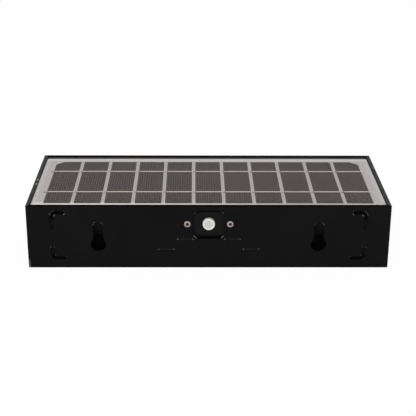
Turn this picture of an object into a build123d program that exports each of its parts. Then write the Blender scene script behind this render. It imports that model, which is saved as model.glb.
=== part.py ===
"""Solar wall light: a flat box that hangs on two screw heads, with a solar panel on top and the light below.

Millimetres. The origin is the centre of the back face, which lies on the wall.
+X runs along the wall, +Y goes from the wall to the front and +Z is up.
"""

import os

from build123d import *

os.makedirs("parts", exist_ok=True)

# Housing shell
body_width = 240.0
body_depth = 100.0
body_height = 44.4
wall = 2.5
corner_radius = 0.8
bottom_radius = 0.5
rim_radius = 0.3
lip_chamfer = 0.45

# Solar panel, from the clear cover down to the ledge
panel_recess = 0.6
panel_gap = 0.25
panel_back_clearance = 0.4
cover_thickness = 0.3
cover_lip = 1.5
laminate_gap = 0.05
ribbon_thickness = 0.15
cell_thickness = 0.2
backsheet_thickness = 1.0
tape_thickness = 0.6
tape_width = 2.8
tape_inset = 0.4
panel_ledge_width = 5.0
panel_ledge_thickness = 1.6

# Cell string
cell_width = 17.64
cell_gap = 2.46
cell_rear_margin = 4.7
cell_front_margin = 9.1
cell_side_margin = 6.0
cell_corner = 5.5
ribbon_shares = (0.25, 0.75)
ribbon_width = 1.4
ribbon_end = 2.2
ribbon_edge_gap = 0.3
ribbon_overlap = 12.0
terminal_size = 4.0
terminal_thickness = 0.5
terminal_spacing = 12.0
terminal_distance = 40.0

# Button well in the back face
button_drop = 13.3
well_width = 20.6
well_height = 19.6
well_radius = 4.5
well_depth = 2.2
pad_depth = 1.1
pad_margin = 1.4

# Push button and switch
button_radius = 4.05
button_gap = 0.35
button_setback = 0.2
button_edge = 0.7
button_rim = 1.2
button_dish_depth = 0.25
button_travel = 0.8
o_ring_thickness = 1.0
o_ring_gap = 0.05
o_ring_sides = 8
flange_overhang = 1.3
flange_thickness = 1.0
stem_radius = 2.0
stem_length = 1.2
collar_gap = 0.3
collar_wall = 1.3
collar_length = 2.9
plunger_radius = 1.7
plunger_gap = 0.06
plunger_stand = 1.3
plunger_depth = 1.3
switch_size = 6.2
plunger_spare = 0.35
switch_floor = 0.95

# Control board and the two screws that clamp it
screw_beside_well = 3.85
screw_head_radius = 2.1
screw_head_height = 1.3
screw_head_setback = 0.15
screw_rise = 0.3
screw_head_gap = 0.25
screw_head_edge = 0.45
cross_length = 2.8
cross_width = 0.75
cross_depth = 0.7
screw_radius = 1.2
screw_hole_gap = 0.15
thread_gap = 0.02
pillar_radius = 3.0
board_end = 7.85
board_above_button = 5.0
board_below_button = 13.0
board_thickness = 1.6
clamp_end = 3.85
clamp_height = 8.0
clamp_thickness = 4.0
clamp_screw_spare = 0.8
socket_width = 7.0
socket_height = 5.0
socket_depth = 5.0
socket_pitch = 12.0
socket_below_button = 10.0
chip_width = 6.0
chip_height = 5.0
chip_thickness = 1.3
coil_radius = 2.8
coil_thickness = 3.0
capacitor_radius = 2.2
capacitor_length = 4.0
part_spacing = 8.0

# Keyholes, cups and the marks moulded into the back face
keyhole_spacing = 146.0
entry_radius = 5.0
slot_half_width = 3.2
keyhole_shoulder = 2.0
cup_margin = 1.0
cup_below_ledge = 2.7
cup_above_ledge = 3.4
cup_head_room = 2.6
cup_depth = 5.0
cup_wall = 1.5
cup_radius = 3.0
groove_width = 2.4
groove_depth = 1.0
groove_side_inset = 16.6
groove_top_inset = 4.8
groove_bottom_inset = 7.0
groove_along = 7.6
groove_fall = 10.4
groove_rise = 7.2
groove_bend = 3.0
dash_height = 1.1
dash_depth = 0.35
dash_length = 11.0
dash_inner_offset = 15.6
dash_outer_offset = 28.2
dash_inner_drop = 23.6
dash_outer_drop = 30.9

# Bottom cover, diffuser and their seals
base_recess = 1.0
base_gap = 0.3
base_thickness = 2.5
base_ledge_width = 3.0
base_ledge_thickness = 1.5
base_gasket_width = 2.4
base_gasket_thickness = 0.8
base_frame_side = 20.0
base_frame_depth = 14.0
window_radius = 4.0
diffuser_overlap = 3.0
diffuser_gap = 0.25
diffuser_flange = 1.6
diffuser_lip = 1.2
diffuser_gasket_thickness = 0.5
base_boss_radius = 3.25
base_boss_cap = 1.0
base_boss_gap = 0.1
base_boss_clearance = 0.55
base_pilot_spare = 1.05
base_screw_head_radius = 2.75
base_screw_head_height = 1.4
base_screw_radius = 1.45
base_screw_length = 8.0
rib_thickness = 2.0

# Light tray, LED board and battery
light_gap = 8.5
tray_thickness = 2.0
skirt_wall = 1.5
skirt_gap = 0.1
tray_flange = 9.0
tray_post_radius = 3.0
tray_post_inset = 9.0
tray_screw_radius = 1.2
tray_screw_length = 9.0
tray_pilot_spare = 1.5
led_board_side_gap = 4.0
led_board_width = 30.0
led_board_thickness = 1.2
led_count = 10
led_pitch = 17.0
led_pair_spacing = 16.0
led_length = 3.5
led_width = 2.8
led_height = 0.8
led_screw_inset = 4.0
led_boss_radius = 2.6
led_boss_height = 4.0
lead_hole_width = 7.0
lead_hole_depth = 6.0
lead_hole_distance = 26.5
battery_radius = 9.15
battery_length = 65.0
battery_nub_radius = 2.8
battery_nub = 1.2
battery_distance = 60.0
battery_gap = 0.3
holder_wall = 1.5
holder_side = 11.0
holder_tape_thickness = 0.8
contact_thickness = 0.5
contact_width = 10.0
contact_height = 9.0
contact_drop = 2.0
tab_width = 4.0
tab_length = 3.0
tab_gap = 0.1

# Leads
lead_radius = 0.7
lead_sides = 8
lead_pin_offset = 1.25
lead_bend = 5.0
led_lead_bend = 4.0
led_pad_inset = 3.0
panel_lead_fall = 10.0
panel_lead_reach = 9.8
battery_lead_out = 8.0
red_lead_turn = 40.0
red_lead_dip = 2.0
red_lead_reach = 8.8
black_lead_turn = 36.0
black_lead_rise = 2.0
black_lead_across = 4.0
black_lead_cross = 33.0
black_lead_reach = 7.8

# Places that follow from the sizes above
top_z = body_height / 2
bottom_z = -body_height / 2
inner_width = body_width - 2 * wall
inner_front = body_depth - wall
inner_depth = inner_front - wall
middle_y = body_depth / 2

cover_top = top_z - panel_recess
cover_bottom = cover_top - cover_thickness
cell_top = cover_bottom - laminate_gap - ribbon_thickness
cell_bottom = cell_top - cell_thickness
backsheet_top = cell_bottom - ribbon_thickness
backsheet_bottom = backsheet_top - backsheet_thickness
panel_ledge_top = backsheet_bottom - tape_thickness
panel_ledge_bottom = panel_ledge_top - panel_ledge_thickness
pad_inner = wall + pad_depth
panel_width = inner_width - 2 * panel_gap
panel_rear = pad_inner + panel_back_clearance
panel_front = inner_front - panel_gap
panel_depth = panel_front - panel_rear
panel_middle = (panel_front + panel_rear) / 2

cell_pitch = cell_width + cell_gap
cell_count = int((panel_width - 2 * cell_side_margin + cell_gap) / cell_pitch)
cell_rear = panel_rear + cell_rear_margin
cell_length = panel_front - cell_front_margin - cell_rear
cell_middle = cell_rear + cell_length / 2
string_half = ((cell_count - 1) * cell_pitch + cell_width) / 2

button_z = top_z - button_drop
button_dish_radius = button_radius - button_rim
flange_radius = button_radius + flange_overhang
pad_low = button_z - well_height / 2 - pad_margin
pad_high = min(button_z + well_height / 2 + pad_margin, top_z - rim_radius)
flange_rear = pad_inner + o_ring_thickness + 2 * o_ring_gap
flange_front = flange_rear + flange_thickness
plunger_rear = flange_front + stem_length
switch_rear = plunger_rear + plunger_stand
switch_bore = plunger_depth + button_travel + plunger_spare
switch_depth = switch_bore + switch_floor
board_rear = switch_rear + switch_depth
board_front = board_rear + board_thickness
board_middle_z = button_z + (board_above_button - board_below_button) / 2
clamp_front = board_front + clamp_thickness
screw_seat = screw_head_setback + screw_head_height
screw_length = clamp_front - clamp_screw_spare - screw_seat
screw_spacing = well_width + 2 * screw_beside_well
board_width = screw_spacing + 2 * board_end
clamp_width = screw_spacing + 2 * clamp_end
screw_z = button_z + screw_rise
screw_points = [(-screw_spacing / 2, screw_z), (screw_spacing / 2, screw_z)]
socket_z = button_z - socket_below_button
socket_front = board_front + socket_depth

base_bottom = bottom_z + base_recess
base_top = base_bottom + base_thickness
base_gasket_top = base_top + base_gasket_thickness
base_ledge_top = base_gasket_top + base_ledge_thickness
diffuser_seat = base_bottom + diffuser_lip
diffuser_flange_bottom = diffuser_seat + diffuser_gasket_thickness
diffuser_top = diffuser_flange_bottom + diffuser_flange
window_width = inner_width - 2 * base_frame_side
window_depth = inner_depth - 2 * base_frame_depth
rebate_width = window_width + 2 * diffuser_overlap
rebate_depth = window_depth + 2 * diffuser_overlap
rebate_radius = window_radius + diffuser_overlap
boss_inset = base_ledge_width + base_boss_clearance + base_boss_radius
boss_x = inner_width / 2 - boss_inset
boss_rear = wall + boss_inset
boss_front = inner_front - boss_inset
boss_points = [(x, y) for x in (-boss_x, 0, boss_x) for y in (boss_rear, boss_front)]
boss_bottom = base_top + base_boss_gap
base_screw_seat = base_bottom + screw_head_setback + base_screw_head_height
base_pilot_depth = base_screw_seat + base_screw_length + base_pilot_spare - boss_bottom
base_boss_height = base_pilot_depth + base_boss_cap

cup_half_width = entry_radius + cup_margin
cup_high = panel_ledge_bottom - cup_below_ledge - cup_wall
cup_low = base_ledge_top + cup_above_ledge + cup_wall
slot_top = cup_high - cup_head_room
entry_z = cup_low + cup_half_width

tray_bottom = base_top + light_gap
tray_top = tray_bottom + tray_thickness
skirt_width = window_width + 2 * skirt_wall
skirt_depth = window_depth + 2 * skirt_wall
tray_width = skirt_width + 2 * tray_flange
tray_post_x = skirt_width / 2 + tray_flange / 2
tray_post_y = skirt_depth / 2 - tray_post_inset
tray_post_points = [
    (x, middle_y + y) for x in (-tray_post_x, tray_post_x) for y in (-tray_post_y, tray_post_y)
]
led_board_length = window_width - 2 * led_board_side_gap
led_board_bottom = tray_bottom - led_board_thickness
led_screw_x = led_board_length / 2 - led_screw_inset
led_screw_y = led_board_width / 2 - led_screw_inset
led_screw_points = [
    (x, middle_y + y) for x in (-led_screw_x, led_screw_x) for y in (-led_screw_y, led_screw_y)
]
led_columns = min(led_count, int((led_board_length - 4 * led_screw_inset - led_length) / led_pitch) + 1)

holder_bottom = tray_top + holder_tape_thickness
holder_floor = holder_bottom + holder_wall
holder_top = holder_floor + holder_side
battery_z = holder_floor + battery_gap + battery_radius
holder_inner_length = battery_length + 2 * (contact_thickness + battery_gap)
holder_inner_width = 2 * (battery_radius + battery_gap)
holder_length = holder_inner_length + 2 * holder_wall
holder_width = holder_inner_width + 2 * holder_wall
contact_z = battery_z - contact_drop
tab_end = holder_length / 2 + tab_length


def wall_plane(distance):
    """Plane that faces the wall at this distance from it, with X to the right and Z up."""
    return Plane.XZ.offset(-distance)


def cross_head_screw(head_radius, head_height, shank_radius, shank_length):
    """Screw whose head hangs below z = 0 with a cross cut into it, and whose shank goes up from there."""
    with BuildPart() as screw:
        with BuildSketch(Plane.XY):
            Circle(head_radius)
        extrude(amount=-head_height)
        chamfer(screw.edges().sort_by(Axis.Z)[0], screw_head_edge)
        with BuildSketch(Plane.XY.offset(-head_height)):
            Rectangle(cross_length, cross_width)
            Rectangle(cross_width, cross_length)
        extrude(amount=cross_depth, mode=Mode.SUBTRACT)
        with BuildSketch(Plane.XY):
            Circle(shank_radius)
        extrude(amount=shank_length)
    return screw.part


def insulated_lead(points, bend):
    """Lead with a few flat sides, along straight runs joined by arcs of the given radius."""
    with BuildPart() as lead:
        with BuildLine() as route:
            FilletPolyline(*points, radius=bend)
        with BuildSketch(Plane(points[0], z_dir=route.line % 0)):
            RegularPolygon(lead_radius, lead_sides)
        sweep(path=route.line)
    return lead.part


# Housing: one moulded shell, open at the top for the panel and at the bottom for the cover
with BuildPart() as housing:
    with BuildSketch(Plane.XY.offset(bottom_z)):
        with Locations((0, middle_y)):
            RectangleRounded(body_width, body_depth, corner_radius)
    extrude(amount=body_height)
    fillet(housing.faces().sort_by(Axis.Z)[0].edges(), min(bottom_radius, 0.8 * wall))
    fillet(housing.faces().sort_by(Axis.Z)[-1].edges(), min(rim_radius, 0.4 * wall))
    with BuildSketch(Plane.XY.offset(bottom_z)):
        with Locations((0, middle_y)):
            Rectangle(inner_width, inner_depth)
    extrude(amount=body_height, mode=Mode.SUBTRACT)

    # Ledges that carry the panel and the bottom cover
    with BuildSketch(Plane.XY.offset(panel_ledge_bottom)):
        with Locations((0, middle_y)):
            Rectangle(inner_width, inner_depth)
            Rectangle(
                inner_width - 2 * panel_ledge_width,
                inner_depth - 2 * panel_ledge_width,
                mode=Mode.SUBTRACT,
            )
    extrude(amount=panel_ledge_thickness)
    with BuildSketch(Plane.XY.offset(base_gasket_top)):
        with Locations((0, middle_y)):
            Rectangle(inner_width, inner_depth)
            Rectangle(
                inner_width - 2 * base_ledge_width,
                inner_depth - 2 * base_ledge_width,
                mode=Mode.SUBTRACT,
            )
    extrude(amount=base_ledge_thickness)

    # Screw bosses for the bottom cover, each on a rib from the nearest long wall
    with BuildSketch(Plane.XY.offset(boss_bottom)):
        with Locations(*boss_points):
            Circle(base_boss_radius)
    extrude(amount=base_boss_height)
    with BuildSketch(Plane.XY.offset(base_gasket_top)):
        with Locations(*[(x, wall) for x in (-boss_x, 0, boss_x)]):
            Rectangle(rib_thickness, boss_inset, align=(Align.CENTER, Align.MIN))
        with Locations(*[(x, inner_front) for x in (-boss_x, 0, boss_x)]):
            Rectangle(rib_thickness, boss_inset, align=(Align.CENTER, Align.MAX))
    extrude(amount=boss_bottom + base_boss_height - base_gasket_top)
    with BuildSketch(Plane.XY.offset(boss_bottom)):
        with Locations(*boss_points):
            Circle(base_screw_radius + thread_gap)
    extrude(amount=base_pilot_depth, mode=Mode.SUBTRACT)

    # Posts that carry the light tray, on ribs from the end walls
    with BuildSketch(Plane.XY.offset(tray_top)):
        with Locations(*tray_post_points):
            Circle(tray_post_radius)
        for x, y in tray_post_points:
            side = 1 if x > 0 else -1
            with Locations(((x + side * inner_width / 2) / 2, y)):
                Rectangle(inner_width / 2 - abs(x), rib_thickness)
    extrude(amount=panel_ledge_bottom - tray_top)
    with BuildSketch(Plane.XY.offset(tray_top)):
        with Locations(*tray_post_points):
            Circle(tray_screw_radius + thread_gap)
    extrude(amount=tray_screw_length - tray_thickness + tray_pilot_spare, mode=Mode.SUBTRACT)

    # Thicker pad behind the well, the board pillars and the collar round the button
    with BuildSketch(wall_plane(wall)):
        with Locations((0, (pad_low + pad_high) / 2)):
            RectangleRounded(
                screw_spacing + 2 * (pillar_radius + pad_margin),
                pad_high - pad_low,
                pillar_radius,
            )
    extrude(amount=-pad_depth)
    with BuildSketch(wall_plane(pad_inner)):
        with Locations(*screw_points):
            Circle(pillar_radius)
    extrude(amount=pad_inner - board_rear)
    with BuildSketch(wall_plane(pad_inner)):
        with Locations((0, button_z)):
            Circle(flange_radius + collar_gap + collar_wall)
            Circle(flange_radius + collar_gap, mode=Mode.SUBTRACT)
    extrude(amount=-collar_length)

    # Well and button hole
    with BuildSketch(wall_plane(0)):
        with Locations((0, button_z)):
            RectangleRounded(well_width, well_height, well_radius)
    extrude(amount=-well_depth, mode=Mode.SUBTRACT)
    with BuildSketch(wall_plane(0)):
        with Locations((0, button_z)):
            Circle(button_radius + button_gap)
    extrude(amount=-pad_inner, mode=Mode.SUBTRACT)

    # Keyholes: a round entry for the screw head and a slot above it for the shank
    with BuildSketch(wall_plane(0)) as keyholes:
        with Locations((-keyhole_spacing / 2, 0), (keyhole_spacing / 2, 0)):
            with Locations((0, entry_z)):
                Circle(entry_radius)
                Rectangle(
                    2 * slot_half_width,
                    slot_top - entry_z - slot_half_width,
                    align=(Align.CENTER, Align.MIN),
                )
            with Locations((0, slot_top - slot_half_width)):
                Circle(slot_half_width)
        shoulder_zone = (entry_z + entry_radius / 2, slot_top - 1.5 * slot_half_width)
        fillet(keyholes.vertices().filter_by_position(Axis.Y, *shoulder_zone), keyhole_shoulder)
    extrude(amount=-wall, mode=Mode.SUBTRACT)

    # Corner grooves moulded into the back face
    with BuildSketch(wall_plane(0)):
        for side in (-1, 1):
            corner_x = side * (body_width / 2 - groove_side_inset)
            for corner_z, groove_end in (
                (top_z - groove_top_inset, -groove_fall),
                (bottom_z + groove_bottom_inset, groove_rise),
            ):
                with BuildLine():
                    FilletPolyline(
                        (corner_x - side * groove_along, corner_z),
                        (corner_x, corner_z),
                        (corner_x, corner_z + groove_end),
                        radius=groove_bend,
                    )
                    offset(amount=groove_width / 2)
                make_face()
    extrude(amount=-groove_depth, mode=Mode.SUBTRACT)

    # Broken lips on all of these, and shallow stepped dashes below the well
    chamfer(housing.faces().sort_by(Axis.Y)[0].inner_wires().edges(), min(lip_chamfer, 0.45 * groove_depth))
    with BuildSketch(wall_plane(0)):
        for side in (-1, 1):
            with Locations(
                (side * dash_inner_offset, top_z - dash_inner_drop),
                (side * dash_outer_offset, top_z - dash_outer_drop),
            ):
                SlotOverall(dash_length, dash_height)
    extrude(amount=-dash_depth, mode=Mode.SUBTRACT)

    # Sunk holes for the two board screws
    with BuildSketch(wall_plane(0)):
        with Locations(*screw_points):
            Circle(screw_head_radius + screw_head_gap)
    extrude(amount=-screw_seat, mode=Mode.SUBTRACT)
    with BuildSketch(wall_plane(0)):
        with Locations(*screw_points):
            Circle(screw_radius + screw_hole_gap)
    extrude(amount=-board_rear, mode=Mode.SUBTRACT)
housing.part.label = "housing"
export_step(housing.part, "parts/housing.step")

# Closed cups behind the keyholes, so that screw heads go in and water stays out
for cup_side, cup_name in ((-1, "keyhole_cup_left"), (1, "keyhole_cup_right")):
    with BuildPart() as keyhole_cup:
        with BuildSketch(wall_plane(wall)):
            with Locations((cup_side * keyhole_spacing / 2, (cup_low + cup_high) / 2)):
                RectangleRounded(
                    2 * (cup_half_width + cup_wall),
                    cup_high - cup_low + 2 * cup_wall,
                    cup_radius + cup_wall,
                )
        extrude(amount=-(cup_depth + cup_wall))
        with BuildSketch(wall_plane(wall)):
            with Locations((cup_side * keyhole_spacing / 2, (cup_low + cup_high) / 2)):
                RectangleRounded(2 * cup_half_width, cup_high - cup_low, cup_radius)
        extrude(amount=-cup_depth, mode=Mode.SUBTRACT)
    keyhole_cup.part.label = cup_name
    export_step(keyhole_cup.part, f"parts/{keyhole_cup.part.label}.step")

# Solar panel, from the tape on the ledge up to the clear cover
with BuildPart() as panel_tape:
    with BuildSketch(Plane.XY.offset(panel_ledge_top)):
        with Locations((0, panel_middle)):
            Rectangle(panel_width - 2 * tape_inset, panel_depth - 2 * tape_inset)
            Rectangle(
                panel_width - 2 * (tape_inset + tape_width),
                panel_depth - 2 * (tape_inset + tape_width),
                mode=Mode.SUBTRACT,
            )
    extrude(amount=tape_thickness)
panel_tape.part.label = "panel_tape"
export_step(panel_tape.part, "parts/panel_tape.step")

with BuildPart() as panel_backsheet:
    with BuildSketch(Plane.XY.offset(backsheet_bottom)):
        with Locations((0, panel_middle)):
            Rectangle(panel_width, panel_depth)
    extrude(amount=backsheet_thickness)
panel_backsheet.part.label = "panel_backsheet"
export_step(panel_backsheet.part, "parts/panel_backsheet.step")

with BuildPart() as solar_cells:
    with BuildSketch(Plane.XY.offset(cell_bottom)) as cell_outlines:
        with Locations((0, cell_middle)):
            with GridLocations(cell_pitch, 0, cell_count, 1):
                Rectangle(cell_width, cell_length)
        front_corners = cell_outlines.vertices().group_by(Axis.Y)[-1].sort_by(Axis.X)
        chamfer([front_corners[0], front_corners[-1]], length=cell_corner)
    extrude(amount=cell_thickness)
solar_cells.part.label = "solar_cells"
export_step(solar_cells.part, "parts/solar_cells.step")

# Each ribbon lies on one cell, drops through the gap and runs on under the next
with BuildPart() as cell_ribbons:
    for share in ribbon_shares:
        with BuildSketch(wall_plane(cell_rear + share * cell_length - ribbon_width / 2)):
            for index in range(cell_count):
                cell_start = index * cell_pitch - string_half
                cell_end = cell_start + cell_width
                is_last = index == cell_count - 1
                run_end = cell_end + cell_gap + ribbon_overlap
                if is_last:
                    run_end = cell_end + cell_gap + ribbon_end
                drop_start = cell_end + ribbon_edge_gap
                drop_end = cell_end + cell_gap - ribbon_edge_gap
                with BuildLine():
                    Polyline(
                        (cell_start + ribbon_edge_gap, cell_top),
                        (drop_start, cell_top),
                        (drop_end, backsheet_top),
                        (run_end, backsheet_top),
                        (run_end, backsheet_top + ribbon_thickness),
                        (drop_end, backsheet_top + ribbon_thickness),
                        (drop_start, cell_top + ribbon_thickness),
                        (cell_start + ribbon_edge_gap, cell_top + ribbon_thickness),
                        close=True,
                    )
                make_face()
            with Locations((-string_half - ribbon_end, backsheet_top)):
                Rectangle(ribbon_end + ribbon_overlap, ribbon_thickness, align=(Align.MIN, Align.MIN))
        extrude(amount=-ribbon_width)
cell_ribbons.part.label = "cell_ribbons"
export_step(cell_ribbons.part, "parts/cell_ribbons.step")

with BuildPart() as panel_cover:
    with BuildSketch(Plane.XY.offset(backsheet_top)):
        with Locations((0, panel_middle)):
            Rectangle(panel_width, panel_depth)
    extrude(amount=cover_top - backsheet_top)
    with BuildSketch(Plane.XY.offset(backsheet_top)):
        with Locations((0, panel_middle)):
            Rectangle(panel_width - 2 * cover_lip, panel_depth - 2 * cover_lip)
    extrude(amount=cover_bottom - backsheet_top, mode=Mode.SUBTRACT)
panel_cover.part.label = "panel_cover"
export_step(panel_cover.part, "parts/panel_cover.step")

with BuildPart() as panel_terminals:
    with BuildSketch(Plane.XY.offset(backsheet_bottom)):
        with Locations((0, terminal_distance)):
            with GridLocations(terminal_spacing, 0, 2, 1):
                Rectangle(terminal_size, terminal_size)
    extrude(amount=-terminal_thickness)
panel_terminals.part.label = "panel_terminals"
export_step(panel_terminals.part, "parts/panel_terminals.step")

# Push button: a turned cap with a dished face, its flange behind the wall and a stem to the switch
button_axis = Axis((0, 0, button_z), (0, 1, 0))
with BuildPart() as button_cap:
    with BuildSketch(Plane((0, 0, button_z), x_dir=(0, 1, 0), z_dir=(1, 0, 0))) as cap_profile:
        with BuildLine():
            Polyline(
                (button_setback + button_dish_depth, 0),
                (button_setback + button_dish_depth, button_dish_radius),
                (button_setback, button_dish_radius + button_dish_depth),
                (button_setback, button_radius),
                (flange_rear, button_radius),
                (flange_rear, flange_radius),
                (flange_front, flange_radius),
                (flange_front, stem_radius),
                (plunger_rear, stem_radius),
                (plunger_rear, 0),
                close=True,
            )
        make_face()
        rim_point = (button_setback, button_radius)
        fillet(cap_profile.vertices().sort_by_distance(rim_point)[0], button_edge)
    revolve(axis=button_axis)
button_cap.part.label = "button_cap"
export_step(button_cap.part, "parts/button_cap.step")

with BuildPart() as button_o_ring:
    with BuildSketch(Plane((0, 0, button_z), x_dir=(0, 1, 0), z_dir=(1, 0, 0))):
        with Locations((
            pad_inner + o_ring_gap + o_ring_thickness / 2,
            button_radius + o_ring_gap + o_ring_thickness / 2,
        )):
            RegularPolygon(o_ring_thickness / 2, o_ring_sides)
    revolve(axis=button_axis)
button_o_ring.part.label = "button_o_ring"
export_step(button_o_ring.part, "parts/button_o_ring.step")

with BuildPart() as switch_plunger:
    with BuildSketch(wall_plane(plunger_rear)):
        with Locations((0, button_z)):
            Circle(plunger_radius)
    extrude(amount=-(plunger_stand + plunger_depth))
switch_plunger.part.label = "switch_plunger"
export_step(switch_plunger.part, "parts/switch_plunger.step")

with BuildPart() as switch_body:
    with BuildSketch(wall_plane(switch_rear)):
        with Locations((0, button_z)):
            Rectangle(switch_size, switch_size)
    extrude(amount=-switch_depth)
    with BuildSketch(wall_plane(switch_rear)):
        with Locations((0, button_z)):
            Circle(plunger_radius + plunger_gap)
    extrude(amount=-switch_bore, mode=Mode.SUBTRACT)
switch_body.part.label = "switch_body"
export_step(switch_body.part, "parts/switch_body.step")

# Control board with what stands on it
with BuildPart() as control_board:
    with BuildSketch(wall_plane(board_rear)):
        with Locations((0, board_middle_z)):
            Rectangle(board_width, board_above_button + board_below_button)
        with Locations(*screw_points):
            Circle(screw_radius + screw_hole_gap, mode=Mode.SUBTRACT)
    extrude(amount=-board_thickness)
control_board.part.label = "control_board"
export_step(control_board.part, "parts/control_board.step")

with BuildPart() as board_parts:
    with BuildSketch(wall_plane(board_rear)):
        with Locations((-part_spacing, socket_z)):
            Rectangle(chip_width, chip_height)
    extrude(amount=chip_thickness)
    with BuildSketch(wall_plane(board_rear)):
        with Locations((0, socket_z)):
            Circle(coil_radius)
    extrude(amount=coil_thickness)
    with BuildSketch(wall_plane(board_rear)):
        with Locations((part_spacing, socket_z)):
            Circle(capacitor_radius)
    extrude(amount=capacitor_length)
board_parts.part.label = "board_parts"
export_step(board_parts.part, "parts/board_parts.step")

socket_points = [(-socket_pitch, socket_z), (0, socket_z), (socket_pitch, socket_z)]
with BuildPart() as lead_sockets:
    with BuildSketch(wall_plane(board_front)):
        with Locations(*socket_points):
            Rectangle(socket_width, socket_height)
    extrude(amount=-socket_depth)
lead_sockets.part.label = "lead_sockets"
export_step(lead_sockets.part, "parts/lead_sockets.step")

with BuildPart() as clamp_bar:
    with BuildSketch(wall_plane(board_front)):
        with Locations((0, button_z)):
            RectangleRounded(clamp_width, clamp_height, pillar_radius)
        with Locations(*screw_points):
            Circle(screw_radius + thread_gap, mode=Mode.SUBTRACT)
    extrude(amount=-clamp_thickness)
clamp_bar.part.label = "clamp_bar"
export_step(clamp_bar.part, "parts/clamp_bar.step")

board_screw = cross_head_screw(screw_head_radius, screw_head_height, screw_radius, screw_length)
with BuildPart() as board_screws:
    with Locations(*[Location((x, screw_seat, z), (-90, 0, 0)) for x, z in screw_points]):
        add(board_screw)
board_screws.part.label = "board_screws"
export_step(board_screws.part, "parts/board_screws.step")

# Bottom cover with the opal diffuser in its window
with BuildPart() as base_cover:
    with BuildSketch(Plane.XY.offset(base_bottom)):
        with Locations((0, middle_y)):
            Rectangle(inner_width - 2 * base_gap, inner_depth - 2 * base_gap)
            RectangleRounded(window_width, window_depth, window_radius, mode=Mode.SUBTRACT)
    extrude(amount=base_thickness)
    with BuildSketch(Plane.XY.offset(diffuser_seat)):
        with Locations((0, middle_y)):
            RectangleRounded(rebate_width, rebate_depth, rebate_radius)
    extrude(amount=base_top - diffuser_seat, mode=Mode.SUBTRACT)
    with BuildSketch(Plane.XY.offset(base_bottom)):
        with Locations(*boss_points):
            Circle(base_screw_radius + screw_hole_gap)
    extrude(amount=base_thickness, mode=Mode.SUBTRACT)
    with BuildSketch(Plane.XY.offset(base_bottom)):
        with Locations(*boss_points):
            Circle(base_screw_head_radius + screw_head_gap)
    extrude(amount=base_screw_seat - base_bottom, mode=Mode.SUBTRACT)
base_cover.part.label = "base_cover"
export_step(base_cover.part, "parts/base_cover.step")

with BuildPart() as diffuser:
    with BuildSketch(Plane.XY.offset(diffuser_flange_bottom)):
        with Locations((0, middle_y)):
            RectangleRounded(
                rebate_width - 2 * diffuser_gap,
                rebate_depth - 2 * diffuser_gap,
                rebate_radius - diffuser_gap,
            )
    extrude(amount=diffuser_flange)
    with BuildSketch(Plane.XY.offset(base_bottom)):
        with Locations((0, middle_y)):
            RectangleRounded(
                window_width - 2 * diffuser_gap,
                window_depth - 2 * diffuser_gap,
                window_radius - diffuser_gap,
            )
    extrude(amount=diffuser_flange_bottom - base_bottom)
diffuser.part.label = "diffuser"
export_step(diffuser.part, "parts/diffuser.step")

with BuildPart() as diffuser_gasket:
    with BuildSketch(Plane.XY.offset(diffuser_seat)):
        with Locations((0, middle_y)):
            RectangleRounded(
                rebate_width - 2 * diffuser_gap,
                rebate_depth - 2 * diffuser_gap,
                rebate_radius - diffuser_gap,
            )
            RectangleRounded(window_width, window_depth, window_radius, mode=Mode.SUBTRACT)
    extrude(amount=diffuser_gasket_thickness)
diffuser_gasket.part.label = "diffuser_gasket"
export_step(diffuser_gasket.part, "parts/diffuser_gasket.step")

with BuildPart() as base_gasket:
    with BuildSketch(Plane.XY.offset(base_top)):
        with Locations((0, middle_y)):
            Rectangle(inner_width - 2 * base_gap, inner_depth - 2 * base_gap)
            Rectangle(
                inner_width - 2 * (base_gap + base_gasket_width),
                inner_depth - 2 * (base_gap + base_gasket_width),
                mode=Mode.SUBTRACT,
            )
    extrude(amount=base_gasket_thickness)
base_gasket.part.label = "base_gasket"
export_step(base_gasket.part, "parts/base_gasket.step")

base_screw = cross_head_screw(
    base_screw_head_radius, base_screw_head_height, base_screw_radius, base_screw_length
)
with BuildPart() as base_screws:
    with Locations(*[(x, y, base_screw_seat) for x, y in boss_points]):
        add(base_screw)
base_screws.part.label = "base_screws"
export_step(base_screws.part, "parts/base_screws.step")

# Light tray: a plate with a reflector skirt round the LEDs, hung on the four posts
with BuildPart() as light_tray:
    with BuildSketch(Plane.XY.offset(tray_bottom)):
        with Locations((0, middle_y)):
            Rectangle(tray_width, skirt_depth)
    extrude(amount=tray_thickness)
    with BuildSketch(Plane.XY.offset(tray_bottom)):
        with Locations((0, middle_y)):
            RectangleRounded(skirt_width, skirt_depth, window_radius + skirt_wall)
            RectangleRounded(window_width, window_depth, window_radius, mode=Mode.SUBTRACT)
    extrude(amount=diffuser_top + skirt_gap - tray_bottom)
    with BuildSketch(Plane.XY.offset(tray_top)):
        with Locations(*led_screw_points):
            Circle(led_boss_radius)
    extrude(amount=led_boss_height)
    with BuildSketch(Plane.XY.offset(tray_bottom)):
        with Locations(*led_screw_points):
            Circle(tray_screw_radius + thread_gap)
        with Locations(*tray_post_points):
            Circle(tray_screw_radius + screw_hole_gap)
        with Locations((-socket_pitch, lead_hole_distance)):
            RectangleRounded(lead_hole_width, lead_hole_depth, lead_radius)
    extrude(amount=tray_thickness + led_boss_height, mode=Mode.SUBTRACT)
light_tray.part.label = "light_tray"
export_step(light_tray.part, "parts/light_tray.step")

tray_screw = cross_head_screw(screw_head_radius, screw_head_height, tray_screw_radius, tray_screw_length)
with BuildPart() as tray_screws:
    with Locations(*[(x, y, tray_bottom) for x, y in tray_post_points]):
        add(tray_screw)
tray_screws.part.label = "tray_screws"
export_step(tray_screws.part, "parts/tray_screws.step")

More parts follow.
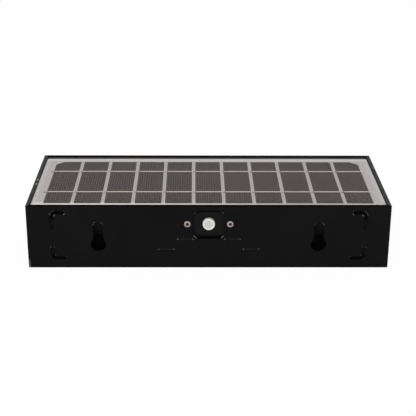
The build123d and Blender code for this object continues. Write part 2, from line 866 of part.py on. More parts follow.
# LED board under the tray
with BuildPart() as led_board:
    with BuildSketch(Plane.XY.offset(led_board_bottom)):
        with Locations((0, middle_y)):
            Rectangle(led_board_length, led_board_width)
        with Locations(*led_screw_points):
            Circle(tray_screw_radius + screw_hole_gap, mode=Mode.SUBTRACT)
    extrude(amount=led_board_thickness)
led_board.part.label = "led_board"
export_step(led_board.part, "parts/led_board.step")

with BuildPart() as led_chips:
    with BuildSketch(Plane.XY.offset(led_board_bottom)):
        with Locations((0, middle_y)):
            with GridLocations(led_pitch, led_pair_spacing, led_columns, 2):
                Rectangle(led_length, led_width)
    extrude(amount=-led_height)
led_chips.part.label = "led_chips"
export_step(led_chips.part, "parts/led_chips.step")

led_screw_length = led_board_thickness + tray_thickness + led_boss_height
led_screw = cross_head_screw(screw_head_radius, screw_head_height, tray_screw_radius, led_screw_length)
with BuildPart() as led_board_screws:
    with Locations(*[(x, y, led_board_bottom) for x, y in led_screw_points]):
        add(led_screw)
led_board_screws.part.label = "led_board_screws"
export_step(led_board_screws.part, "parts/led_board_screws.step")

# Battery in its holder on top of the tray
with BuildPart() as holder_tape:
    with BuildSketch(Plane.XY.offset(tray_top)):
        with Locations((0, battery_distance)):
            Rectangle(holder_length, holder_width)
    extrude(amount=holder_tape_thickness)
holder_tape.part.label = "holder_tape"
export_step(holder_tape.part, "parts/holder_tape.step")

with BuildPart() as battery_holder:
    with BuildSketch(Plane.XY.offset(holder_bottom)):
        with Locations((0, battery_distance)):
            Rectangle(holder_length, holder_width)
    extrude(amount=holder_top - holder_bottom)
    with BuildSketch(Plane.XY.offset(holder_floor)):
        with Locations((0, battery_distance)):
            Rectangle(holder_inner_length, holder_inner_width)
    extrude(amount=holder_side, mode=Mode.SUBTRACT)
    with BuildSketch(Plane.XY.offset(contact_z - contact_thickness / 2 - tab_gap)):
        with Locations((0, battery_distance)):
            Rectangle(holder_length, tab_width + 2 * tab_gap)
    extrude(amount=contact_thickness + 2 * tab_gap, mode=Mode.SUBTRACT)
battery_holder.part.label = "battery_holder"
export_step(battery_holder.part, "parts/battery_holder.step")

with BuildPart() as battery_contacts:
    for side in (-1, 1):
        with Locations((side * (holder_inner_length - contact_thickness) / 2, battery_distance, contact_z)):
            Box(contact_thickness, contact_width, contact_height)
        with Locations((side * (holder_inner_length / 2 + tab_end) / 2, battery_distance, contact_z)):
            Box(tab_end - holder_inner_length / 2, tab_width, contact_thickness)
battery_contacts.part.label = "battery_contacts"
export_step(battery_contacts.part, "parts/battery_contacts.step")

with BuildPart() as battery_cell:
    with BuildSketch(Plane.YZ.offset(-battery_length / 2)):
        with Locations((battery_distance, battery_z)):
            Circle(battery_radius)
    extrude(amount=battery_length - battery_nub)
    with BuildSketch(Plane.YZ.offset(battery_length / 2 - battery_nub)):
        with Locations((battery_distance, battery_z)):
            Circle(battery_nub_radius)
    extrude(amount=battery_nub)
battery_cell.part.label = "battery_cell"
export_step(battery_cell.part, "parts/battery_cell.step")

# Leads between the panel, the battery, the LED board and the control board
for colour, pin in (("red", lead_pin_offset), ("black", -lead_pin_offset)):
    side = 1 if pin > 0 else -1
    panel_route = [
        (side * terminal_spacing / 2, terminal_distance, backsheet_bottom - terminal_thickness),
        (side * terminal_spacing / 2, terminal_distance, socket_z + panel_lead_fall),
        (pin, socket_front + panel_lead_reach, socket_z),
        (pin, socket_front, socket_z),
    ]
    with BuildPart() as panel_lead:
        add(insulated_lead(panel_route, lead_bend))
    panel_lead.part.label = f"panel_lead_{colour}"
    export_step(panel_lead.part, f"parts/{panel_lead.part.label}.step")

    led_lead_x = pin - socket_pitch
    led_lead_start = middle_y - led_board_width / 2 + led_pad_inset
    led_route = [
        (led_lead_x, led_lead_start, led_board_bottom - lead_radius),
        (led_lead_x, lead_hole_distance, led_board_bottom - lead_radius),
        (led_lead_x, lead_hole_distance, socket_z),
        (led_lead_x, socket_front, socket_z),
    ]
    with BuildPart() as led_lead:
        add(insulated_lead(led_route, led_lead_bend))
    led_lead.part.label = f"led_lead_{colour}"
    export_step(led_lead.part, f"parts/{led_lead.part.label}.step")

battery_routes = {
    "red": [
        (tab_end, battery_distance, contact_z),
        (tab_end + battery_lead_out, battery_distance, contact_z),
        (tab_end + battery_lead_out, red_lead_turn, socket_z - red_lead_dip),
        (socket_pitch + lead_pin_offset, socket_front + red_lead_reach, socket_z),
        (socket_pitch + lead_pin_offset, socket_front, socket_z),
    ],
    "black": [
        (-tab_end, battery_distance, contact_z),
        (-tab_end - battery_lead_out, battery_distance, contact_z),
        (-tab_end - battery_lead_out, black_lead_turn, tray_top + black_lead_rise),
        (black_lead_across, black_lead_cross, tray_top + black_lead_rise),
        (socket_pitch - lead_pin_offset, socket_front + black_lead_reach, socket_z),
        (socket_pitch - lead_pin_offset, socket_front, socket_z),
    ],
}
for colour, route_points in battery_routes.items():
    with BuildPart() as battery_lead:
        add(insulated_lead(route_points, lead_bend))
    battery_lead.part.label = f"battery_lead_{colour}"
    export_step(battery_lead.part, f"parts/{battery_lead.part.label}.step")
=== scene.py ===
"""Finishes, fine pieces and a white studio for a solar wall light, built round its packed model.

Sizes are in metres, in the model's own frame: +X along the wall, +Y from the wall to the front, +Z up.
"""

import math

import bmesh
import bpy
from bpy.props import FloatProperty, FloatVectorProperty, IntProperty, PointerProperty
from bpy.types import Operator, Panel, PropertyGroup
from mathutils import Matrix, Vector


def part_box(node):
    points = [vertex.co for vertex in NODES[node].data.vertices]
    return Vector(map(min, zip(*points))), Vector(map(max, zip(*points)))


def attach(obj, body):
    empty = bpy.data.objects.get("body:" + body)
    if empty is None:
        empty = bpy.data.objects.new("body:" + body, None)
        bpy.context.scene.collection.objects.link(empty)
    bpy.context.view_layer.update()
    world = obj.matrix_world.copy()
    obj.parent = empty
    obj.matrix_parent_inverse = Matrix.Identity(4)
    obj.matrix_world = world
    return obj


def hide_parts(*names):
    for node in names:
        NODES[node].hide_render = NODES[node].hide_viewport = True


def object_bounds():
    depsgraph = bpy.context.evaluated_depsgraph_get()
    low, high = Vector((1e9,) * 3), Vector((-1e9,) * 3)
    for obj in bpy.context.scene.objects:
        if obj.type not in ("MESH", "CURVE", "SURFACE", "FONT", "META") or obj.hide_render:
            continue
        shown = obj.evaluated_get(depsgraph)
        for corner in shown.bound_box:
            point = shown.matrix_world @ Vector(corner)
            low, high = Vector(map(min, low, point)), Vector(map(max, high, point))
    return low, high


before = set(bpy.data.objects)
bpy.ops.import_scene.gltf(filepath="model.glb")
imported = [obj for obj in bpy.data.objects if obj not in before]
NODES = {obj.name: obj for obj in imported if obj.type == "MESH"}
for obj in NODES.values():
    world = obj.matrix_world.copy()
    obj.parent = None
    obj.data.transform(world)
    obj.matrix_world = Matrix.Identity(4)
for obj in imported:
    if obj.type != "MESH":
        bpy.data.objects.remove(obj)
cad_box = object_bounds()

bl_info = {
    "name": "Solar Wall Light",
    "version": (1, 0, 0),
    "blender": (4, 5, 0),
    "location": "View3D > Sidebar > Wall Light",
    "description": "Dresses the packed solar wall light and sets it in a white studio",
    "category": "Object",
}

MM = 0.001

# Points nearer than this are one point, and an edge past this angle is a crease
WELD = 0.001 * MM
CREASE = math.radians(35)

# The shell's finishes, in the order of its materials
PLAIN, HIGHLIT, MARKED, DEEP, HANDLED, GROOVED, WELL = range(7)

# Where the shell's faces are: in the rim's top, in the plain band at the edges, or in a mark
RIM_TOP = 0.35 * MM
EDGE_BAND = 1.2 * MM
MARK_DEPTH = 0.05 * MM

# Which way they face, as limits for the parts of a normal
SQUARE = 0.9999
RISING = 0.3
LIP_SLOPES = (0.05, 0.98)
LEVEL_LIP = 0.2
FACING_UP = 0.1
CORNER = 0.5
BEND = 0.3

# The button's dish: its flat share, and where its edge bends, in shares of its depth and of the rim
DISH_FLAT = 0.8
DISH_BEND = 0.6
RIM_BEND = 0.3

# A screw: the dome of its head, in shares of the radius and the height, and the taper of its cross
DOME = ((0.55, 0.12), (0.85, 0.5))
TAPER = (0.45, 0.8, 1)

# Which of its faces are the cross's: the share of the span, the depths of walls and foot, and the slope
CROSS_REACH = 0.52
WALL_START = 0.06 * MM
FOOT_START = 0.5 * MM
FOOT_END = 1.2 * MM
STEEP = 0.7

# Degrees that the screws are turned: the two in the well, and by column and by mm those in the cover
WELL_TURNS = (20, -25)
TURN_PER_COLUMN = 37
TURN_PER_MM = 11


# Settings

def length(name, description, default):
    """A size in metres."""
    return FloatProperty(name=name, description=description, default=default, unit="LENGTH", precision=5)


def share(name, description, default):
    """A plain number from 0 to 1."""
    return FloatProperty(name=name, description=description, default=default, min=0, max=1, subtype="FACTOR")


def paint(name, description, default):
    """A linear colour."""
    return FloatVectorProperty(
        name=name, description=description, default=default, size=3, min=0, max=1, subtype="COLOR"
    )


def point(name, description, default):
    """A place in metres."""
    return FloatVectorProperty(name=name, description=description, default=default, size=3, unit="LENGTH")


def power(name, description, default):
    """A lamp's power in watts."""
    return FloatProperty(name=name, description=description, default=default, unit="POWER")


def group(kind, name):
    """A group of settings."""
    return PointerProperty(name=name, description=kind.__doc__, type=kind)


class PanelSettings(PropertyGroup):
    """Sizes and colours of the solar panel."""

    cell_count: IntProperty(name="Cells", description="Cell strips side by side", default=11, min=1)
    cell_gap: length("Cell gap", "White gap between two cells", 2.46 * MM)
    cell_corner: length("Cell corner", "Cut corner of the two end cells", 5.5 * MM)
    finger_count: IntProperty(name="Fingers", description="Silver fingers on each cell", default=11, min=1)
    finger_width: length("Finger width", "Width of one printed finger", 0.2 * MM)
    finger_height: length("Finger height", "Height of the print", 0.02 * MM)
    finger_margin: length("Finger margin", "Bare silicon at a finger's ends", 0.8 * MM)
    cover_lift: length("Cover lift", "Gap between the clear cover and the white sheet", 0.03 * MM)
    silicon: paint("Silicon", "Colour of the cells", (0.0158, 0.0080, 0.0074))
    silver: paint("Silver", "Colour of the fingers", (0.13, 0.12, 0.113))
    tin: paint("Tin", "Colour of the ribbons", (0.56, 0.51, 0.48))
    backsheet: paint("Backsheet", "Colour of the sheet behind the cells", (0.45, 0.425, 0.42))
    # Painted light: this paler colour lifts the white sheet along the back and the front, where the rim's
    # shade falls
    rim_lift: paint("Milk", "Colour of the resin along the panel's long sides", (0.69, 0.68, 0.68))
    lift_start: length("Milk start", "Where along the back edge the milk starts to thin", -70 * MM)
    lift_end: length("Milk end", "Where along the back edge the milk is thinnest", 60 * MM)
    resin: paint("Resin", "Colour of the clear cover's haze", (0.5, 0.46, 0.45))


class ButtonSettings(PropertyGroup):
    """Sizes and colours of the push button."""

    radius: length("Radius", "Radius of the button", 4.05 * MM)
    rim: length("Rim", "Width of the raised rim", 1.2 * MM)
    edge: length("Edge", "Rounding of the rim", 0.7 * MM)
    dish: length("Dish", "Depth of the dished face", 0.25 * MM)
    dish_edge: length("Dish edge", "Rounding of the dish's edge", 0.2 * MM)
    flange_overhang: length("Flange", "How far the hidden flange stands out", 1.3 * MM)
    flange_thickness: length("Flange thickness", "Thickness of the hidden flange", 1.0 * MM)
    stem_radius: length("Stem radius", "Radius of the stem behind the flange", 2.0 * MM)
    stem_length: length("Stem length", "Length of the stem behind the flange", 1.2 * MM)
    silicone: paint("Silicone", "Colour of the button", (0.71, 0.685, 0.65))


class ScrewSettings(PropertyGroup):
    """Sizes and colours of the screws that show."""

    head_radius: length("Head radius", "Radius of the heads beside the button", 2.1 * MM)
    head_height: length("Head height", "Height of the heads beside the button", 1.3 * MM)
    shank_radius: length("Shank radius", "Radius of the shanks beside the button", 1.2 * MM)
    base_head_radius: length("Base head radius", "Radius of the heads in the bottom cover", 2.75 * MM)
    base_head_height: length("Base head height", "Height of the heads in the bottom cover", 1.4 * MM)
    base_shank_radius: length("Base shank radius", "Radius of the shanks in the bottom cover", 1.45 * MM)
    dome: length("Dome", "Height of a head's rounded top", 0.15 * MM)
    cross_length: length("Cross length", "Span of the cross", 3.2 * MM)
    cross_width: length("Cross width", "Width of the cross's arms", 1.25 * MM)
    cross_depth: length("Cross depth", "Depth of the cross", 0.9 * MM)
    steel: paint("Steel", "Colour of the plated heads", (0.455, 0.378, 0.341))
    soil: paint("Soil", "Colour of the dirt in the cross", (0.03, 0.012, 0.008))


class CaseSettings(PropertyGroup):
    """Colours of the moulded case, and the sizes that tell its parts apart."""

    black: paint("Black", "Colour of the case", (0.0070, 0.0070, 0.0074))
    roughness: share("Roughness", "Roughness of the case", 0.5)
    shine: share("Shine", "Specular level of the case", 0.025)
    # Painted highlight: lips picked by which way they face take this paler colour, and their higher shine is
    # their own
    highlit: paint("Rubbed black", "Colour of the rubbed lips", (0.09, 0.085, 0.08))
    lip_shine: share("Lip shine", "Specular level of the rubbed lips", 0.7)
    # Painted light: the marks are lifted paler than the case so that the shade in them does not show
    painted_light: paint("Dust", "Colour of the dust in the shallow marks", (0.012, 0.012, 0.012))
    # Painted shadow: this black darkens the grooves' level runs, the well's top and foot, and the long rim
    # tops
    deep: paint("Deep black", "Colour of the grooves' level runs and the long rims", (0.003, 0.003, 0.003))
    # Real nicks use this colour, and so do the painted highlights at the lower left edge and at the marks'
    # ends
    nick: paint("Nick", "Colour of nicks, wear and the marks' ends", (0.22, 0.21, 0.2))
    opal: paint("Opal", "Colour of the light window", (0.72, 0.72, 0.70))
    rim_shine: share("Rim shine", "Specular level of the rim's short sides", 0.09)
    rim_width: length("Rim width", "Width of the rim round the panel", 2.5 * MM)
    first_nick: length("First nick", "First nick in the left rim, from the wall", 40.5 * MM)
    second_nick: length("Second nick", "Second nick in the left rim, from the wall", 48.5 * MM)
    nick_inset: share("Nick inset", "Nicks' place across the rim, from its outside", 0.78)
    # Painted highlight: these size the pale strip painted up the lower left edge
    glint_width: length("Wear width", "Width of the worn lower left edge", 1.9 * MM)
    glint_height: length("Wear height", "Height of the worn lower left edge", 7 * MM)
    lip_reach: length("Lip depth", "How deep the rounded lips of the recesses go", 0.5 * MM)
    marks_reach: length("Marks reach", "Half the width of the field of marks", 45 * MM)
    inner_mark: length("Inner mark", "How far out the marks beside the button are", 15.6 * MM)
    outer_mark: length("Outer mark", "How far out the other two marks are", 28.2 * MM)
    mark_length: length("Mark length", "Length of a mark", 11 * MM)
    grooves_start: length("Grooves start", "How far out the corner grooves start", 92 * MM)
    grooves_depth: length("Grooves depth", "How deep the corner grooves may be", 1.2 * MM)
    grooves_level: length("Grooves level", "Height from which a corner groove runs level", 13 * MM)
    slots_start: length("Slots start", "Height above which a keyhole's lip is rubbed", 6 * MM)
    well_reach: length("Well reach", "Half the width of the button well", 10.8 * MM)
    well_depth: length("Well depth", "How deep the button well may be", 2.3 * MM)
    well_foot: length("Well foot", "Height of the button well's lower lip", -1.4 * MM)
    well_top: length("Well top", "Height of the button well's upper lip", 19.2 * MM)


class StudioSettings(PropertyGroup):
    """Camera, floor and lights."""

    camera_place: point("Camera", "Where the camera stands", (-9.63 * MM, -645.3 * MM, 284.41 * MM))
    camera_turn: FloatVectorProperty(
        name="Camera turn", description="Pitch down, roll and yaw of the camera", size=3, subtype="EULER",
        default=(math.radians(22.209), math.radians(0.343), math.radians(0.801)),
    )
    lens: FloatProperty(name="Lens", description="Focal length in mm", default=92.265, unit="CAMERA")
    floor_size: length("Floor", "Half the width of the floor", 6.0)
    floor_white: paint("Floor white", "Colour of the floor", (0.94, 0.94, 0.94))
    floor_glow: share("Floor glow", "Share of the floor that shows as plain white", 0.96)
    sky: FloatProperty(name="Sky", description="Strength of the light from all round", default=0.45)
    lit_spot: point("Lit spot", "Where both lamps point", (0, 0.05, 0))
    key: power("Key", "Power of the lamp overhead", 8.0)
    key_place: point("Key place", "Where the lamp overhead hangs", (0.1, 0.15, 1.3))
    key_size: length("Key size", "Width of the lamp overhead", 1.3)
    fill: power("Fill", "Power of the lamp beside the camera", 8.0)
    fill_place: point("Fill place", "Where the lamp beside the camera stands", (-0.5, -1.2, 0.75))
    fill_size: length("Fill size", "Width of the lamp beside the camera", 1.1)


class WallLightSettings(PropertyGroup):
    """All settings of the wall light."""

    panel: group(PanelSettings, "Panel")
    button: group(ButtonSettings, "Button")
    screws: group(ScrewSettings, "Screws")
    case: group(CaseSettings, "Case")
    studio: group(StudioSettings, "Studio")


# Materials

class Finish:
    """A procedural material being put together: object coordinates go in, one Principled shader comes out."""

    def __init__(self, name):
        self.material = bpy.data.materials.new(name)
        self.material.use_nodes = True
        self.tree = self.material.node_tree
        self.shader = self.tree.nodes["Principled BSDF"]
        self.place = self.add("TexCoord").outputs["Object"]

    def feed(self, socket, value):
        """Link another node's output to a socket, or set a plain value on it."""
        if isinstance(value, bpy.types.NodeSocket):
            self.tree.links.new(value, socket)
        elif socket.type == "RGBA":
            socket.default_value = (*value[:3], 1)
        else:
            socket.default_value = value

    def add(self, kind, inputs=None, **settings):
        """Add a node with these inputs and settings."""
        made = self.tree.nodes.new("ShaderNode" + kind)
        for key, value in settings.items():
            setattr(made, key, value)
        for key, value in (inputs or {}).items():
            self.feed(made.inputs[key], value)
        return made

    def noise(self, size, detail=2.0):
        """Cloudy pattern with features of about this size."""
        inputs = {"Vector": self.place, "Scale": 1 / size, "Detail": detail}
        return self.add("TexNoise", inputs).outputs["Fac"]

    def math(self, operation, first, second=0.0):
        """One step of arithmetic."""
        return self.add("Math", {0: first, 1: second}, operation=operation).outputs[0]

    def away(self, value, place):
        """How far a value is from a place, to either side."""
        return self.math("ABSOLUTE", self.math("SUBTRACT", value, place))

    def spread(self, value, low, high, start=0.3, end=0.7):
        """Stretch the part of a value between start and end over low to high."""
        inputs = {"Value": value, "From Min": start, "From Max": end, "To Min": low, "To Max": high}
        return self.add("MapRange", inputs).outputs["Result"]

    def mix(self, factor, first, second):
        """Blend two colours."""
        return self.add("Mix", {0: factor, 6: first, 7: second}, data_type="RGBA").outputs[2]

    def tones(self, pattern, colour, darker, lighter):
        """The colour, varied by a pattern between a darker and a lighter tone."""
        return self.mix(self.spread(pattern, 0, 1), shade(colour, darker), shade(colour, lighter))

    def axis(self, name):
        """One object coordinate."""
        return self.add("SeparateXYZ", {"Vector": self.place}).outputs[name]

    def bump(self, height, depth):
        """Relief of this depth."""
        return self.add("Bump", {"Height": height, "Distance": depth}).outputs["Normal"]

    def grain(self, depth=0.01 * MM):
        """Relief of the fine eroded grain that a mould leaves."""
        return self.bump(self.noise(0.35 * MM, 2), depth)

    def set(self, **inputs):
        """Set the shader's inputs, with underscores for spaces."""
        for key, value in inputs.items():
            self.feed(self.shader.inputs[key.replace("_", " ")], value)
        return self.material


def shade(colour, factor):
    """The colour made lighter or darker."""
    return tuple(min(channel * factor, 1.0) for channel in colour)


def moulded_plastic(name, colour, roughness, shine=0.35):
    """Moulded plastic with a fine eroded grain and faint flow marks."""
    finish = Finish(name)
    flow = finish.noise(35 * MM, 4)
    return finish.set(
        Base_Color=finish.tones(flow, colour, 0.85, 1.15),
        Roughness=finish.spread(flow, roughness + 0.06, roughness - 0.05),
        Specular_IOR_Level=shine,
        Normal=finish.grain(),
    )


def case_plastic(name, case, corner):
    """Moulded plastic of the case, with a painted highlight along the edge that rises from its lower left
    corner.
    """
    finish = Finish(name)
    flow = finish.noise(35 * MM, 4)
    worn_and_glinting = finish.spread(finish.noise(1.2 * MM, 3), 0.4, 1)
    # Painted highlight up the lower left edge, broken up by noise
    for axis, reach in (("X", case.glint_width), ("Y", case.glint_width), ("Z", case.glint_height)):
        distance = finish.math("SUBTRACT", finish.axis(axis), getattr(corner, axis.lower()))
        worn_and_glinting = finish.math("MULTIPLY", finish.spread(distance, 1, 0, 0.4 * reach, reach), worn_and_glinting)
    return finish.set(
        Base_Color=finish.mix(worn_and_glinting, finish.tones(flow, case.black, 0.85, 1.15), shade(case.nick, 0.75)),
        Roughness=finish.spread(flow, case.roughness + 0.06, case.roughness - 0.05),
        Specular_IOR_Level=case.shine,
        Normal=finish.grain(),
    )


def well_plastic(name, case):
    """Moulded plastic of the button well, lifted paler in the middle as painted light, with painted shadow
    along its top and its foot.
    """
    finish = Finish(name)
    height = finish.axis("Z")
    # Painted shadow along the top and the foot of the well
    top = finish.spread(height, 0, 1, case.well_top - 2.6 * MM, case.well_top - 1.6 * MM)
    foot = finish.spread(height, 1, 0, case.well_foot + 1.1 * MM, case.well_foot + 2.6 * MM)
    speck = finish.noise(3 * MM, 3)
    # Painted light: the middle is lifted paler than the case
    dust_and_lift = finish.tones(speck, case.black, 1.4, 1.8)
    return finish.set(
        Base_Color=finish.mix(finish.math("MAXIMUM", top, foot), dust_and_lift, shade(case.deep, 0.5)),
        Roughness=finish.spread(speck, 0.55, 0.7),
        Specular_IOR_Level=case.shine,
        Normal=finish.bump(speck, 0.01 * MM),
    )


def lip_highlight_plastic(name, case):
    """Moulded plastic of the lips, paler in patches as a painted highlight, and smoother there."""
    finish = Finish(name)
    patch = finish.spread(finish.noise(1.4 * MM, 3), 0, 1, 0.3, 0.5)
    return finish.set(
        Base_Color=finish.mix(patch, case.black, case.highlit),
        Roughness=finish.spread(patch, 0.4, 0.25, 0, 1),
        Specular_IOR_Level=case.lip_shine,
        Normal=finish.grain(0.006 * MM),
    )


def marked_plastic(name, case):
    """Speckled plastic of the shallow marks, lifted paler as painted light against their shade, with a
    painted glint at both ends of each.
    """
    finish = Finish(name)
    across = finish.math("ABSOLUTE", finish.axis("X"))
    # Painted highlight: a glint at both ends of each mark
    end_glints = 0.0
    for middle in (case.inner_mark, case.outer_mark):
        for end in (middle - case.mark_length / 2, middle + case.mark_length / 2):
            distance = finish.away(across, end)
            end_glints = finish.math("MAXIMUM", finish.spread(distance, 1, 0, 0.5 * MM, 1.0 * MM), end_glints)
    speck = finish.noise(1.3 * MM, 3)
    pale = finish.tones(speck, case.nick, 0.25, 0.9)
    return finish.set(
        Base_Color=finish.mix(end_glints, finish.tones(speck, case.painted_light, 0.6, 2.2), pale),
        Roughness=finish.spread(speck, 0.6, 0.75),
        Specular_IOR_Level=case.shine,
        Normal=finish.bump(speck, 0.02 * MM),
    )


def grooved_plastic(name, case):
    """Moulded plastic of the corner grooves, with painted shadow along their level runs."""
    finish = Finish(name)
    height = finish.math("ABSOLUTE", finish.axis("Z"))
    # Painted shadow along the level runs
    level = finish.spread(height, 0, 1, case.grooves_level - 2 * MM, case.grooves_level + 1 * MM)
    speck = finish.noise(1.5 * MM, 3)
    return finish.set(
        Base_Color=finish.mix(level, finish.tones(speck, case.black, 0.7, 1.1), shade(case.deep, 0.5)),
        Roughness=finish.spread(speck, 0.55, 0.7),
        Specular_IOR_Level=case.shine,
        Normal=finish.bump(speck, 0.01 * MM),
    )


def nicked_plastic(name, case, rim_left):
    """Moulded plastic of the short rims, with faint knocks all over and two clear nicks in the left one."""
    finish = Finish(name)
    flow = finish.noise(12 * MM, 3)
    knocks = finish.spread(finish.noise(1.4 * MM, 2), 0, 0.4, 0.62, 0.66)
    nick_line = rim_left + case.nick_inset * case.rim_width
    aside = finish.away(finish.axis("X"), nick_line)
    near_aside = finish.spread(aside, 1, 0, 0.4 * MM, 0.8 * MM)
    for place in (case.first_nick, case.second_nick):
        along = finish.away(finish.axis("Y"), place)
        near_along = finish.spread(along, 1, 0, 0.7 * MM, 1.6 * MM)
        knocks = finish.math("MAXIMUM", finish.math("MULTIPLY", near_along, near_aside), knocks)
    return finish.set(
        Base_Color=finish.mix(knocks, finish.tones(flow, case.black, 0.85, 1.3), shade(case.nick, 1.4)),
        Roughness=finish.spread(flow, 0.45, 0.6),
        Specular_IOR_Level=case.rim_shine,
        Normal=finish.grain(),
    )


def pocket_plastic(name, colour, low, high):
    """Moulded plastic of a deep pocket, lifted paler towards its top as painted light, with painted shade at
    its foot.
    """
    finish = Finish(name)
    # Painted shade at the foot, and painted light lifting the top
    rise = finish.spread(finish.axis("Z"), 0, 1, low + 0.4 * (high - low), low + 0.7 * (high - low))
    speck = finish.noise(1.2 * MM, 3)
    dust_and_lift = finish.tones(speck, colour, 2.2, 3.6)
    return finish.set(
        Base_Color=finish.mix(rise, shade(colour, 0.3), dust_and_lift),
        Roughness=finish.spread(speck, 0.55, 0.7),
        Specular_IOR_Level=0.02,
        Normal=finish.bump(speck, 0.01 * MM),
    )


def tinned_ribbon(name, colour, cells_end):
    """Tinned copper ribbon, bright on the cells, with painted shade where it drops between them, clean past
    the last.
    """
    finish = Finish(name)
    stain = finish.noise(1.5 * MM, 5)
    # Painted shade where the ribbon drops between the cells
    low_down = finish.spread(finish.axis("Z"), 1, 0, cells_end.z - 0.12 * MM, cells_end.z + 0.02 * MM)
    between = finish.spread(finish.axis("X"), 1, 0, cells_end.x + 0.6 * MM, cells_end.x + 1.0 * MM)
    gap_shade = finish.math("MULTIPLY", low_down, between)
    bright = finish.tones(stain, colour, 0.8, 1.12)
    return finish.set(
        Base_Color=finish.mix(gap_shade, bright, shade(colour, 0.3)),
        Metallic=1.0,
        Roughness=finish.spread(stain, 0.5, 0.36),
        Normal=finish.bump(stain, 0.008 * MM),
    )


def seal_rubber(name, colour):
    """Matte rubber with a dusty bloom."""
    finish = Finish(name)
    bloom = finish.noise(6 * MM, 4)
    return finish.set(
        Base_Color=finish.tones(bloom, colour, 0.8, 1.5),
        Roughness=finish.spread(bloom, 0.65, 0.85),
        Specular_IOR_Level=0.3,
        Normal=finish.bump(finish.noise(0.4 * MM), 0.02 * MM),
    )


def foam(name, colour):
    """Closed-cell foam tape."""
    finish = Finish(name)
    cells = {"Vector": finish.place, "Scale": 1 / (0.5 * MM)}
    pores = finish.add("TexVoronoi", cells).outputs["Distance"]
    return finish.set(
        Base_Color=finish.tones(pores, colour, 1.4, 0.6),
        Roughness=0.95,
        Normal=finish.bump(pores, 0.15 * MM),
    )


def plated_metal(name, colour, roughness):
    """Plated metal with faint scratches and stains."""
    finish = Finish(name)
    stain = finish.noise(1.5 * MM, 5)
    stretched = finish.add("Mapping", {"Vector": finish.place, "Scale": (1, 14, 1)}).outputs["Vector"]
    lines = {"Vector": stretched, "Scale": 1 / (2.5 * MM), "Detail": 3}
    scratch = finish.add("TexNoise", lines).outputs["Fac"]
    return finish.set(
        Base_Color=finish.tones(stain, colour, 0.8, 1.12),
        Metallic=1.0,
        Roughness=finish.spread(stain, roughness + 0.1, roughness - 0.06),
        Normal=finish.bump(scratch, 0.008 * MM),
    )


def cell_silicon(name, settings, first_edge, pitch):
    """Dark silicon, a little different from cell to cell, with a faint cloud across each."""
    finish = Finish(name)
    along = finish.math("SUBTRACT", finish.axis("X"), first_edge)
    index = finish.math("FLOOR", finish.math("DIVIDE", along, pitch))
    chance = finish.add("TexWhiteNoise", {"W": index}, noise_dimensions="1D").outputs["Value"]
    cloud = finish.noise(22 * MM, 3)
    mixed = finish.math("ADD", finish.math("MULTIPLY", chance, 0.45), finish.math("MULTIPLY", cloud, 0.55))
    return finish.set(
        Base_Color=finish.tones(mixed, settings.silicon, 0.86, 1.16),
        Roughness=finish.spread(cloud, 0.32, 0.42),
        Specular_IOR_Level=0.02,
        Normal=finish.bump(finish.noise(0.3 * MM), 0.004 * MM),
    )


def backsheet_film(name, panel, low, high):
    """Pale film under speckled resin, lifted paler along the rim as painted light, with a dark line at the
    front that is partly glue and partly painted shadow.
    """
    finish = Finish(name)
    speckle = finish.noise(0.9 * MM, 4)
    cloud = finish.noise(30 * MM, 2)
    speckled = finish.tones(speckle, panel.backsheet, 0.9, 1.08)
    clouded = finish.mix(finish.spread(cloud, 0, 0.3), speckled, shade(panel.backsheet, 0.85))
    along = finish.axis("X")
    across = finish.away(along, (low.x + high.x) / 2)
    from_side = finish.math("SUBTRACT", (high.x - low.x) / 2, across)
    from_back = finish.math("SUBTRACT", finish.axis("Y"), low.y)
    from_front = finish.math("SUBTRACT", high.y, finish.axis("Y"))
    # Painted light: the sheet is lifted paler along the sides, the front and the back, where the rim's shade
    # falls
    at_side = finish.spread(from_side, 1, 0, 0.3 * MM, 3.5 * MM)
    at_front = finish.spread(from_front, 1, 0, 3.0 * MM, 8.0 * MM)
    at_back = finish.spread(from_back, 1, 0, 4.0 * MM, 8.0 * MM)
    # The painted light along the back edge is paler at the left and darker towards the right
    thinning = finish.spread(along, 0, 1, panel.lift_start, panel.lift_end)
    back_lift = finish.mix(thinning, shade(panel.rim_lift, 1.06), shade(panel.rim_lift, 0.66))
    lifted = finish.mix(at_side, clouded, shade(panel.backsheet, 1.35))
    lifted = finish.mix(at_front, lifted, shade(panel.rim_lift, 0.88))
    lifted = finish.mix(at_back, lifted, back_lift)
    # The dark line at the front is partly glue and partly painted shadow of the rim
    glue_and_shadow = finish.spread(from_front, 1, 0, 1.0 * MM, 2.0 * MM)
    return finish.set(
        Base_Color=finish.mix(glue_and_shadow, lifted, shade(panel.backsheet, 0.1)),
        Roughness=finish.spread(speckle, 0.5, 0.62),
        Specular_IOR_Level=0.3,
        Normal=finish.bump(speckle, 0.02 * MM),
    )


def clear_resin(name, colour):
    """Clear resin with a satin skin."""
    finish = Finish(name)
    skin = finish.noise(0.8 * MM, 3)
    return finish.set(
        Base_Color=finish.tones(finish.noise(40 * MM, 3), colour, 0.9, 1.1),
        Roughness=finish.spread(skin, 0.3, 0.4),
        Specular_IOR_Level=0.5,
        Alpha=0.04,
        Normal=finish.bump(skin, 0.006 * MM),
    )


